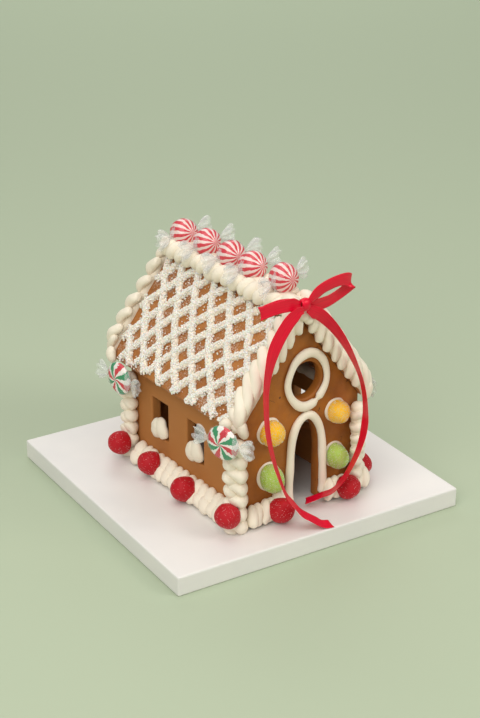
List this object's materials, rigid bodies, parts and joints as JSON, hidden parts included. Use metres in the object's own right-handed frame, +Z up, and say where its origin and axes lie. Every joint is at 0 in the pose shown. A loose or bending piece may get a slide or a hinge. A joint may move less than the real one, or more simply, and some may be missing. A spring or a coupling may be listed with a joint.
{
  "type": "gingerbread house",
  "caption": "Gabled gingerbread house on a white cake board, with piped icing, boiled and jelly sweets and a ribbon bow.",
  "frame": {"origin": "centre of the underside of the board", "axes": "+Z up; the door looks along -Y, the ridge runs along Y, and +X is to the right of someone facing the door. The board is turned 4 degrees clockwise under the house, seen from above."},
  "size_m": [0.271, 0.271, 0.211],
  "materials": {
    "gingerbread": "baked, matt, fine dark specks",
    "royal_icing": "smooth set icing, faint sheen",
    "white_board": "white foil paper, satin",
    "red_gumdrop": "jelly with sugar grains",
    "yellow_gumdrop": "jelly with sugar grains",
    "green_gumdrop": "jelly with sugar grains",
    "peppermint": "boiled sugar in a clear wrapper",
    "red_satin": "satin ribbon"
  },
  "bodies": {
    "root": {"board": "white_board", "front_wall": "gingerbread", "back_wall": "gingerbread", "left_wall": "gingerbread", "right_wall": "gingerbread", "roof_left": "gingerbread", "roof_right": "gingerbread", "lattice_left": "royal_icing", "lattice_right": "royal_icing", "ridge_icing_left": "royal_icing", "ridge_icing_right": "royal_icing", "rake_front_left": "royal_icing", "rake_front_right": "royal_icing", "rake_back_left": "royal_icing", "rake_back_right": "royal_icing", "column_front_left": "royal_icing", "column_front_right": "royal_icing", "column_back_left": "royal_icing", "column_back_right": "royal_icing", "border_left": "royal_icing", "border_right": "royal_icing", "border_back": "royal_icing", "border_front_left": "royal_icing", "border_front_right": "royal_icing", "door_icing": "royal_icing", "round_window_icing": "royal_icing", "window_icing_left_front": "royal_icing", "window_icing_left_back": "royal_icing", "window_icing_right_front": "royal_icing", "window_icing_right_back": "royal_icing", "red_gumdrop_01": "red_gumdrop", "red_gumdrop_02": "red_gumdrop", "red_gumdrop_03": "red_gumdrop", "red_gumdrop_04": "red_gumdrop", "red_gumdrop_05": "red_gumdrop", "red_gumdrop_06": "red_gumdrop", "red_gumdrop_07": "red_gumdrop", "red_gumdrop_08": "red_gumdrop", "red_gumdrop_09": "red_gumdrop", "red_gumdrop_10": "red_gumdrop", "red_gumdrop_11": "red_gumdrop", "red_gumdrop_12": "red_gumdrop", "yellow_gumdrop_left": "yellow_gumdrop", "yellow_gumdrop_right": "yellow_gumdrop", "green_gumdrop_left": "green_gumdrop", "green_gumdrop_right": "green_gumdrop", "peppermint_ball_1": "peppermint", "peppermint_ball_2": "peppermint", "peppermint_ball_3": "peppermint", "peppermint_ball_4": "peppermint", "peppermint_ball_5": "peppermint", "starlight_mint_front_left": "peppermint", "starlight_mint_back_left": "peppermint", "starlight_mint_front_right": "peppermint", "starlight_mint_back_right": "peppermint", "ribbon_knot": "red_satin", "ribbon_loop_left": "red_satin", "ribbon_loop_right": "red_satin", "ribbon_tail_left": "red_satin", "ribbon_tail_right": "red_satin"}
  },
  "joints": []
}
